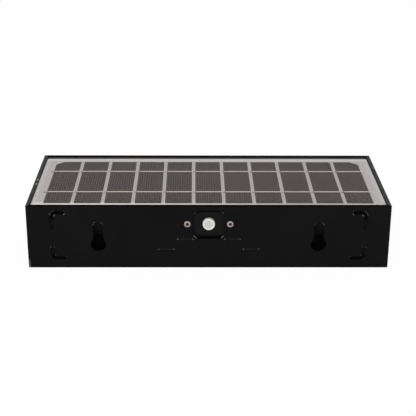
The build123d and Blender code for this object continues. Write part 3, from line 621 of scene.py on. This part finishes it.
def button_silicone(name, settings, centre):
    """White silicone, cleaner on the rim than on the worn and speckled middle."""
    finish = Finish(name)
    offset = finish.add("VectorMath", {0: finish.place, 1: centre}, operation="SUBTRACT").outputs[0]
    flat = finish.add("VectorMath", {0: offset, 1: (1, 0, 1)}, operation="MULTIPLY").outputs[0]
    distance = finish.add("VectorMath", {0: flat}, operation="LENGTH").outputs["Value"]
    middle = settings.radius - settings.rim
    worn_and_glinting = finish.spread(distance, 1, 0, middle - 0.3 * MM, middle + 0.2 * MM)
    speckle = finish.noise(0.7 * MM, 4)
    grime = finish.tones(speckle, settings.silicone, 0.8, 1.05)
    clean = finish.tones(finish.noise(3 * MM), settings.silicone, 1.2, 1.3)
    return finish.set(
        Base_Color=finish.mix(worn_and_glinting, clean, grime),
        Roughness=finish.spread(speckle, 0.45, 0.6),
        Specular_IOR_Level=0.4,
        Subsurface_Weight=0.15,
        Subsurface_Radius=(1.2 * MM, 1.0 * MM, 0.8 * MM),
        Normal=finish.bump(speckle, 0.02 * MM),
    )


def screw_soil(name, colour):
    """Dirt and rust packed into a screw's cross."""
    finish = Finish(name)
    crumb = finish.noise(0.3 * MM, 4)
    return finish.set(
        Base_Color=finish.tones(crumb, colour, 0.5, 1.7),
        Roughness=0.9,
        Normal=finish.bump(crumb, 0.05 * MM),
    )


def circuit_board(name, mask, trace):
    """Solder mask over a net of straight tracks."""
    finish = Finish(name)
    bricks = {"Vector": finish.place, "Scale": 1.0, "Brick Width": 4 * MM, "Row Height": 1.6 * MM,
              "Mortar Size": 0.2 * MM, "Mortar Smooth": 0.1}
    tracks = finish.add("TexBrick", bricks).outputs["Fac"]
    cloud = finish.noise(8 * MM, 3)
    return finish.set(
        Base_Color=finish.mix(tracks, finish.tones(cloud, mask, 0.85, 1.15), trace),
        Roughness=finish.spread(cloud, 0.3, 0.45),
        Normal=finish.bump(tracks, 0.03 * MM),
    )


def opal_plastic(name, colour):
    """Milky plastic that spreads the light, with a fine frost."""
    finish = Finish(name)
    frost = finish.noise(0.6 * MM, 3)
    return finish.set(
        Base_Color=finish.tones(finish.noise(25 * MM, 3), colour, 0.95, 1.05),
        Roughness=finish.spread(frost, 0.4, 0.52),
        Subsurface_Weight=0.3,
        Subsurface_Radius=(3 * MM, 3 * MM, 3 * MM),
        Normal=finish.bump(frost, 0.01 * MM),
    )


def battery_wrap(name, colour, end_x):
    """Shrink wrap over a steel can that stays bare at the ends."""
    finish = Finish(name)
    cloud = finish.noise(5 * MM, 3)
    reach = finish.math("ABSOLUTE", finish.axis("X"))
    bare = finish.spread(reach, 0, 1, end_x - 2.2 * MM, end_x - 2.0 * MM)
    return finish.set(
        Base_Color=finish.mix(bare, finish.tones(cloud, colour, 0.85, 1.15), (0.6, 0.58, 0.55)),
        Metallic=bare,
        Roughness=finish.spread(cloud, 0.28, 0.4),
        Normal=finish.bump(finish.noise(1.5 * MM), 0.01 * MM),
    )


# Pieces

def dress(material, *names):
    """Give CAD nodes this one material."""
    for name in names:
        NODES[name].data.materials.clear()
        NODES[name].data.materials.append(material)


def finished_piece(mesh_source, name, materials, body="shell", replaces=()):
    """Turn a bmesh into an object that rides on a body and stands for the nodes it replaces."""
    mesh = bpy.data.meshes.new(name)
    mesh_source.to_mesh(mesh)
    mesh_source.free()
    for material in materials:
        mesh.materials.append(material)
    piece = bpy.data.objects.new(name, mesh)
    bpy.context.scene.collection.objects.link(piece)
    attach(piece, body)
    if replaces:
        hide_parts(*replaces)
    return piece


def smooth_by_angle(piece, degrees):
    """Smooth shading with edges kept sharp past this angle."""
    piece.data.shade_smooth()
    piece.data.set_sharp_from_angle(angle=math.radians(degrees))


def merged_copy(node):
    """A copy of a CAD node's mesh with its loose triangles joined."""
    mesh = bmesh.new()
    mesh.from_mesh(NODES[node].data)
    bmesh.ops.remove_doubles(mesh, verts=mesh.verts, dist=WELD)
    return mesh


def chain(mesh, points):
    """Add vertices at these points, each joined to the next."""
    corners = [mesh.verts.new(spot) for spot in points]
    for first, second in zip(corners, corners[1:]):
        mesh.edges.new((first, second))
    return corners


def turn_profile(mesh, centre, axis, steps):
    """Spin a profile into a closed shape."""
    bmesh.ops.spin(mesh, geom=mesh.verts[:] + mesh.edges[:], cent=centre, axis=axis, angle=2 * math.pi,
                   steps=steps, use_merge=True)
    bmesh.ops.remove_doubles(mesh, verts=mesh.verts, dist=WELD)
    bmesh.ops.recalc_face_normals(mesh, faces=mesh.faces)


class WALLLIGHT_OT_case(Operator):
    """Finish the housing, the bottom cover, the keyhole cups and the light window"""

    bl_idname = "wall_light.case"
    bl_label = "Case"

    def execute(self, context):
        case = context.scene.wall_light.case
        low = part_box("housing")[0]
        self.mould_shell(case, [
            case_plastic("case_black", case, low),
            lip_highlight_plastic("highlit_lip_black", case),
            marked_plastic("mark_black", case),
            moulded_plastic("deep_black", case.deep, roughness=0.8, shine=0.0),
            nicked_plastic("side_rim_black", case, low.x),
            grooved_plastic("groove_black", case),
            well_plastic("well_black", case),
        ])
        dress(moulded_plastic("base_black", case.black, case.roughness + 0.05, case.shine), "base_cover")
        low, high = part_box("keyhole_cup_left")
        cup = pocket_plastic("cup_black", case.black, low.z, high.z)
        dress(cup, "keyhole_cup_left", "keyhole_cup_right")
        dress(opal_plastic("window_opal", case.opal), "diffuser")
        rubber = seal_rubber("gasket_black", (0.02, 0.02, 0.02))
        dress(rubber, "diffuser_gasket", "base_gasket", "button_o_ring")
        return {"FINISHED"}

    def mould_shell(self, case, materials):
        """Copy the housing, finish it face by face, and shade its rounds smooth and its flat sides flat."""
        mesh = merged_copy("housing")
        low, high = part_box("housing")
        for face in mesh.faces:
            face.smooth = True
            face.material_index = self.finish_of(case, face, low, high)
        for edge in mesh.edges:
            flat = any(max(abs(part) for part in face.normal) > SQUARE for face in edge.link_faces)
            edge.smooth = not flat and edge.calc_face_angle(math.pi) < CREASE
        finished_piece(mesh, "case_shell", materials, "shell", ["housing"])

    def finish_of(self, case, face, low, high):
        """Tell a face's finish from where it is and which way it faces."""
        middle, normal = face.calc_center_median(), face.normal
        across = abs(middle.x)
        depth = middle.y - low.y
        # The long rim tops take a darker black without shine, as painted shade
        if middle.z > high.z - RIM_TOP and normal.z > RISING:
            return HANDLED if across > high.x - case.rim_width else DEEP
        in_well = across < case.well_reach and case.well_foot < middle.z < case.well_top
        if in_well and case.lip_reach < depth < case.well_depth:
            return WELL
        off_edge = min(middle.x - low.x, high.x - middle.x, middle.z - low.z, high.z - middle.z)
        if off_edge < EDGE_BAND or depth > case.grooves_depth:
            return PLAIN
        if depth > case.lip_reach:
            return GROOVED if across > case.grooves_start else PLAIN
        if LIP_SLOPES[0] < abs(normal.y) < LIP_SLOPES[1]:
            # Painted highlight on the lips picked by which way they face
            if self.is_highlit(case, middle, normal):
                return HIGHLIT
            # The well's level lips take its painted shadow
            return WELL if in_well and abs(normal.x) < LEVEL_LIP else PLAIN
        return MARKED if across < case.marks_reach and depth > MARK_DEPTH else PLAIN

    def is_highlit(self, case, middle, normal):
        """Tell whether a lip takes the painted highlight: a corner of the well, the top of a slot, a groove's
        bend or end.
        """
        slant = Vector((normal.x, normal.z)).normalized()
        turn = min(abs(slant.x), abs(slant.y))
        across = abs(middle.x)
        if across < case.marks_reach:
            return turn > CORNER
        bent = turn > BEND
        in_groove = across > case.grooves_start
        if in_groove and middle.z > case.grooves_level:
            return bent
        in_keyhole = across < case.grooves_start and middle.z < case.slots_start
        in_fall = in_groove and middle.z > 0
        return bent and slant.y < FACING_UP and not in_keyhole and not in_fall


class WALLLIGHT_OT_panel(Operator):
    """Finish the solar panel and print the silver fingers on its cells"""

    bl_idname = "wall_light.panel"
    bl_label = "Solar panel"

    def execute(self, context):
        panel = context.scene.wall_light.panel
        low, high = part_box("solar_cells")
        pitch = (high.x - low.x + panel.cell_gap) / panel.cell_count
        dress(cell_silicon("cell_silicon", panel, low.x - panel.cell_gap / 2, pitch), "solar_cells")
        dress(tinned_ribbon("ribbon_tin", panel.tin, high), "cell_ribbons")
        dress(plated_metal("terminal_tin", panel.tin, roughness=0.42), "panel_terminals")
        dress(backsheet_film("backsheet_white", panel, *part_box("panel_backsheet")), "panel_backsheet")
        self.lay_cover(panel)
        dress(foam("foam_tape", (0.03, 0.03, 0.03)), "panel_tape", "holder_tape")
        self.print_fingers(panel, low, high, pitch)
        return {"FINISHED"}

    def lay_cover(self, panel):
        """Copy the clear cover and lift its foot a hair off the white sheet, so that no faces coincide."""
        mesh = merged_copy("panel_cover")
        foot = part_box("panel_cover")[0].z
        feet = [vert for vert in mesh.verts if vert.co.z < foot + panel.cover_lift]
        bmesh.ops.translate(mesh, vec=(0, 0, panel.cover_lift), verts=feet)
        resin = clear_resin("clear_cover", panel.resin)
        finished_piece(mesh, "clear_glaze", [resin], "shell", ["panel_cover"])

    def print_fingers(self, panel, low, high, pitch):
        """Lay thin strips on every cell, shorter where an end cell has its corner cut."""
        mesh = bmesh.new()
        finger_pitch = (pitch - panel.cell_gap) / panel.finger_count
        start = low.y + panel.finger_margin
        for cell in range(panel.cell_count):
            for finger in range(panel.finger_count):
                x = low.x + cell * pitch + (finger + 0.5) * finger_pitch
                from_side = min(x - low.x, high.x - x)
                end = high.y - panel.finger_margin - max(panel.cell_corner - from_side, 0)
                middle = Vector((x, (start + end) / 2, high.z + panel.finger_height / 2))
                size = Vector((panel.finger_width, end - start, panel.finger_height))
                bmesh.ops.create_cube(mesh, size=1, matrix=Matrix.LocRotScale(middle, None, size))
        silver = plated_metal("finger_silver", panel.silver, roughness=0.55)
        finished_piece(mesh, "cell_fingers", [silver])


class WALLLIGHT_OT_button(Operator):
    """Turn the push button from its profile and finish what is behind it"""

    bl_idname = "wall_light.button"
    bl_label = "Push button"

    def execute(self, context):
        button = context.scene.wall_light.button
        low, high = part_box("button_cap")
        centre = Vector((0, 0, (low.z + high.z) / 2))
        dish_radius = button.radius - button.rim
        flange_front = high.y - button.stem_length
        flange_rear = flange_front - button.flange_thickness
        flange_radius = button.radius + button.flange_overhang
        profile = [
            (low.y + button.dish, 0),
            (low.y + button.dish, DISH_FLAT * dish_radius),
            (low.y + DISH_BEND * button.dish, dish_radius),
            (low.y, dish_radius + RIM_BEND * button.rim),
            (low.y, button.radius),
            (flange_rear, button.radius),
            (flange_rear, flange_radius),
            (flange_front, flange_radius),
            (flange_front, button.stem_radius),
            (high.y, button.stem_radius),
            (high.y, 0),
        ]
        mesh = bmesh.new()
        corners = chain(mesh, [centre + Vector((0, y, radius)) for y, radius in profile])
        dish_corners, rim_corner = corners[1:4], corners[4]
        rounding = {"affect": "VERTICES", "profile": 0.5, "material": -1}
        bmesh.ops.bevel(mesh, geom=[rim_corner], offset=button.edge, segments=6, **rounding)
        bmesh.ops.bevel(mesh, geom=dish_corners, offset=button.dish_edge, segments=3, **rounding)
        turn_profile(mesh, centre, (0, 1, 0), steps=64)
        silicone = button_silicone("button_white", button, centre)
        piece = finished_piece(mesh, "push_button", [silicone], "button", ["button_cap"])
        smooth_by_angle(piece, degrees=40)
        dress(moulded_plastic("plunger_cream", (0.6, 0.55, 0.45), roughness=0.4), "switch_plunger")
        return {"FINISHED"}


class WALLLIGHT_OT_screws(Operator):
    """Turn the screws that show, with rounded heads and a tapered cross in each"""

    bl_idname = "wall_light.screws"
    bl_label = "Screws"

    def execute(self, context):
        screws = context.scene.wall_light.screws
        steel = plated_metal("screw_steel", screws.steel, roughness=0.42)
        finishes = [steel, screw_soil("screw_soil", screws.soil)]
        dress(steel, "tray_screws", "led_board_screws")
        self.set_well_screws(screws, finishes)
        self.set_cover_screws(screws, finishes)
        return {"FINISHED"}

    def set_well_screws(self, screws, finishes):
        """The two screws beside the button, each stopped at its own angle."""
        low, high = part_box("board_screws")
        radius = screws.head_radius
        facing_wall = Matrix.Rotation(math.radians(-90), 4, "X")
        places = []
        for x, degrees in zip((low.x + radius, high.x - radius), WELL_TURNS):
            spot = Matrix.Translation((x, low.y, (low.z + high.z) / 2))
            places.append(spot @ facing_wall @ Matrix.Rotation(math.radians(degrees), 4, "Z"))
        sizes = (radius, screws.head_height, screws.shank_radius, high.y - low.y)
        self.make(screws, "well_screws", "board_screws", places, sizes, finishes)

    def set_cover_screws(self, screws, finishes):
        """The six screws in the bottom cover, each stopped at its own angle."""
        low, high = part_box("base_screws")
        radius = screws.base_head_radius
        places = []
        for column, x in enumerate((low.x + radius, (low.x + high.x) / 2, high.x - radius)):
            for y in (low.y + radius, high.y - radius):
                degrees = TURN_PER_COLUMN * column + TURN_PER_MM * y / MM
                spot = Matrix.Translation((x, y, low.z))
                places.append(spot @ Matrix.Rotation(math.radians(degrees), 4, "Z"))
        sizes = (radius, screws.base_head_height, screws.base_shank_radius, high.z - low.z)
        self.make(screws, "cover_screws", "base_screws", places, sizes, finishes)

    def make(self, screws, name, node, places, sizes, finishes):
        """Turn one screw, cut its cross and set copies at the places. The head's top is at z = 0."""
        radius, height, shank, total = sizes
        dome = [(out * radius, down * screws.dome) for out, down in DOME]
        sides = [(radius, screws.dome), (radius, height), (shank, height), (shank, total), (0, total)]
        solid = bmesh.new()
        chain(solid, [(out, 0, down) for out, down in ((0, 0), *dome, *sides)])
        turn_profile(solid, (0, 0, 0), (0, 0, 1), steps=48)
        cut = self.cut(solid, self.forge_blade(screws), name, screws.cross_length)
        mesh = bmesh.new()
        for place in places:
            before = len(mesh.verts)
            mesh.from_mesh(cut)
            mesh.verts.ensure_lookup_table()
            bmesh.ops.transform(mesh, matrix=place, verts=mesh.verts[before:])
        bpy.data.meshes.remove(cut)
        piece = finished_piece(mesh, name, finishes, "shell", [node])
        smooth_by_angle(piece, degrees=35)

    def forge_blade(self, screws):
        """The cross that is cut from a head: two crossed bars that taper as they go in."""
        blade = bmesh.new()
        size = Vector((screws.cross_length, screws.cross_width, 2 * screws.cross_depth))
        for turn in (0, math.radians(90)):
            made = bmesh.ops.create_cube(blade, size=1)["verts"]
            bmesh.ops.scale(blade, vec=size, verts=made)
            deep = [vert for vert in made if vert.co.z > 0]
            bmesh.ops.scale(blade, vec=TAPER, verts=deep)
            bmesh.ops.rotate(blade, cent=(0, 0, 0), matrix=Matrix.Rotation(turn, 3, "Z"), verts=made)
        return blade

    def cut(self, solid, blade, name, reach):
        """The screw with its cross cut out, and the cut's walls and foot in the second material."""
        objects = []
        for source, label in ((solid, name + "_turned"), (blade, name + "_blade")):
            mesh = bpy.data.meshes.new(label)
            source.to_mesh(mesh)
            source.free()
            objects.append(bpy.data.objects.new(label, mesh))
            bpy.context.scene.collection.objects.link(objects[-1])
        turned, cutter = objects
        boolean = turned.modifiers.new("Cross", "BOOLEAN")
        boolean.object = cutter
        boolean.operation = "DIFFERENCE"
        boolean.solver = "EXACT"
        boolean.use_self = True
        graph = bpy.context.evaluated_depsgraph_get()
        result = bpy.data.meshes.new_from_object(turned.evaluated_get(graph))
        for face in result.polygons:
            depth = face.center.z
            inside = face.center.xy.length < CROSS_REACH * reach and depth < FOOT_END
            wall = depth > WALL_START and abs(face.normal.z) < STEEP
            foot = depth > FOOT_START
            face.material_index = 1 if inside and (wall or foot) else 0
        for spent in objects:
            bpy.data.meshes.remove(spent.data)
        return result


class WALLLIGHT_OT_works(Operator):
    """Finish what is inside: boards, switch, battery, LEDs, tray and leads"""

    bl_idname = "wall_light.works"
    bl_label = "Inner works"

    def execute(self, context):
        leads = ("panel_lead_", "led_lead_", "battery_lead_")
        plastics = (
            ("switch_black", (0.03, 0.03, 0.03), 0.45, ["switch_body"]),
            ("chip_black", (0.02, 0.02, 0.022), 0.5, ["board_parts"]),
            ("socket_white", (0.75, 0.72, 0.65), 0.4, ["lead_sockets"]),
            ("holder_black", (0.02, 0.02, 0.02), 0.5, ["clamp_bar", "battery_holder"]),
            ("tray_white", (0.8, 0.8, 0.79), 0.3, ["light_tray"]),
            ("lead_red", (0.5, 0.02, 0.02), 0.4, [lead + "red" for lead in leads]),
            ("lead_black", (0.02, 0.02, 0.02), 0.4, [lead + "black" for lead in leads]),
        )
        for name, colour, roughness, nodes in plastics:
            dress(moulded_plastic(name, colour, roughness), *nodes)
        dress(circuit_board("board_green", (0.02, 0.12, 0.05), (0.05, 0.2, 0.09)), "control_board")
        dress(circuit_board("led_board_white", (0.78, 0.78, 0.77), (0.66, 0.65, 0.62)), "led_board")
        dress(opal_plastic("led_phosphor", (0.85, 0.66, 0.2)), "led_chips")
        dress(plated_metal("contact_nickel", (0.6, 0.58, 0.52), roughness=0.3), "battery_contacts")
        dress(battery_wrap("battery_wrap", (0.05, 0.2, 0.42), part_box("battery_cell")[1].x), "battery_cell")
        return {"FINISHED"}


class WALLLIGHT_OT_stage(Operator):
    """Lay the white floor, set the lamps and the sky, and stand the camera where the photograph was taken"""

    bl_idname = "wall_light.stage"
    bl_label = "Stage"

    def execute(self, context):
        studio = context.scene.wall_light.studio
        context.scene.view_settings.view_transform = "Standard"
        self.lay_floor(studio)
        self.light_sky(context.scene, studio)
        self.hang_lamp("key_lamp", studio.key_place, studio.lit_spot, studio.key_size, studio.key)
        self.hang_lamp("fill_lamp", studio.fill_place, studio.lit_spot, studio.fill_size, studio.fill)
        self.stand_camera(context.scene, studio)
        return {"FINISHED"}

    def seen_directly(self, tree):
        """1 for rays that show the background itself, straight or in gloss or glass, and 0 for its light."""
        path = tree.nodes.new("ShaderNodeLightPath").outputs
        seen = path["Is Camera Ray"]
        for ray in ("Is Glossy Ray", "Is Transmission Ray"):
            total = tree.nodes.new("ShaderNodeMath")
            total.use_clamp = True
            tree.links.new(seen, total.inputs[0])
            tree.links.new(path[ray], total.inputs[1])
            seen = total.outputs[0]
        return seen

    def lay_floor(self, studio):
        """A pale floor that shows as white but keeps a share of the shadow."""
        finish = Finish("floor_white")
        cloud = finish.noise(400 * MM, 3)
        pale = finish.set(
            Base_Color=finish.tones(cloud, studio.floor_white, 0.99, 1.0),
            Roughness=1.0,
            Specular_IOR_Level=0.0,
        )
        glow = finish.add("Emission", {"Color": (1, 1, 1), "Strength": 1.0}).outputs[0]
        seen = finish.math("MULTIPLY", self.seen_directly(finish.tree), studio.floor_glow)
        both = finish.add("MixShader", {0: seen, 1: finish.shader.outputs[0], 2: glow}).outputs[0]
        finish.feed(finish.tree.nodes["Material Output"].inputs["Surface"], both)
        mesh = bmesh.new()
        level = Matrix.Translation((0, 0, cad_box[0].z))
        bmesh.ops.create_grid(mesh, x_segments=1, y_segments=1, size=studio.floor_size, matrix=level)
        data = bpy.data.meshes.new("floor")
        mesh.to_mesh(data)
        mesh.free()
        data.materials.append(pale)
        floor = bpy.data.objects.new("floor", data)
        bpy.context.scene.collection.objects.link(floor)

    def light_sky(self, scene, studio):
        """Even light from all round, which shows as plain white itself."""
        world = bpy.data.worlds.new("studio_sky")
        world.use_nodes = True
        scene.world = world
        tree = world.node_tree
        sky = tree.nodes["Background"]
        sky.inputs["Color"].default_value = (1, 1, 1, 1)
        level = tree.nodes.new("ShaderNodeMapRange")
        level.inputs["To Min"].default_value = studio.sky
        tree.links.new(self.seen_directly(tree), level.inputs["Value"])
        tree.links.new(level.outputs["Result"], sky.inputs["Strength"])

    def hang_lamp(self, name, place, target, size, watts):
        """A square soft lamp that faces the target."""
        data = bpy.data.lights.new(name, "AREA")
        data.size = size
        data.energy = watts
        lamp = bpy.data.objects.new(name, data)
        lamp.location = place
        lamp.rotation_euler = (Vector(target) - Vector(place)).to_track_quat("-Z", "Y").to_euler()
        bpy.context.scene.collection.objects.link(lamp)

    def stand_camera(self, scene, studio):
        """The camera of the photograph, above the back of the light."""
        data = bpy.data.cameras.new("camera")
        data.lens = studio.lens
        camera = bpy.data.objects.new("camera", data)
        pitch, roll, yaw = studio.camera_turn
        turn = Matrix.Rotation(-yaw, 4, "Z") @ Matrix.Rotation(math.pi / 2 - pitch, 4, "X")
        turn = turn @ Matrix.Rotation(roll, 4, "Z")
        camera.matrix_world = Matrix.Translation(studio.camera_place) @ turn
        scene.collection.objects.link(camera)
        scene.camera = camera


class WALLLIGHT_PT_sidebar(Panel):
    """Lists the steps and the settings of the wall light"""

    bl_label = "Solar Wall Light"
    bl_idname = "WALLLIGHT_PT_sidebar"
    bl_space_type = "VIEW_3D"
    bl_region_type = "UI"
    bl_category = "Wall Light"

    def draw(self, context):
        for operator in OPERATORS:
            self.layout.operator(operator.bl_idname)
        settings = context.scene.wall_light
        for part in (settings.panel, settings.button, settings.screws, settings.case, settings.studio):
            box = self.layout.box()
            for key in part.__annotations__:
                box.prop(part, key)


GROUPS = (PanelSettings, ButtonSettings, ScrewSettings, CaseSettings, StudioSettings, WallLightSettings)
OPERATORS = (
    WALLLIGHT_OT_case, WALLLIGHT_OT_panel, WALLLIGHT_OT_button, WALLLIGHT_OT_screws, WALLLIGHT_OT_works,
    WALLLIGHT_OT_stage,
)
CLASSES = (*GROUPS, *OPERATORS, WALLLIGHT_PT_sidebar)


def register():
    """Add the settings, the steps and the sidebar panel."""
    for made in CLASSES:
        bpy.utils.register_class(made)
    bpy.types.Scene.wall_light = group(WallLightSettings, "Wall light")


def unregister():
    """Take them away again."""
    del bpy.types.Scene.wall_light
    for made in reversed(CLASSES):
        bpy.utils.unregister_class(made)


def main():
    """Register the add-on and make every piece."""
    register()
    bpy.ops.wall_light.case()
    bpy.ops.wall_light.panel()
    bpy.ops.wall_light.button()
    bpy.ops.wall_light.screws()
    bpy.ops.wall_light.works()
    bpy.ops.wall_light.stage()


if __name__ == "__main__":
    main()
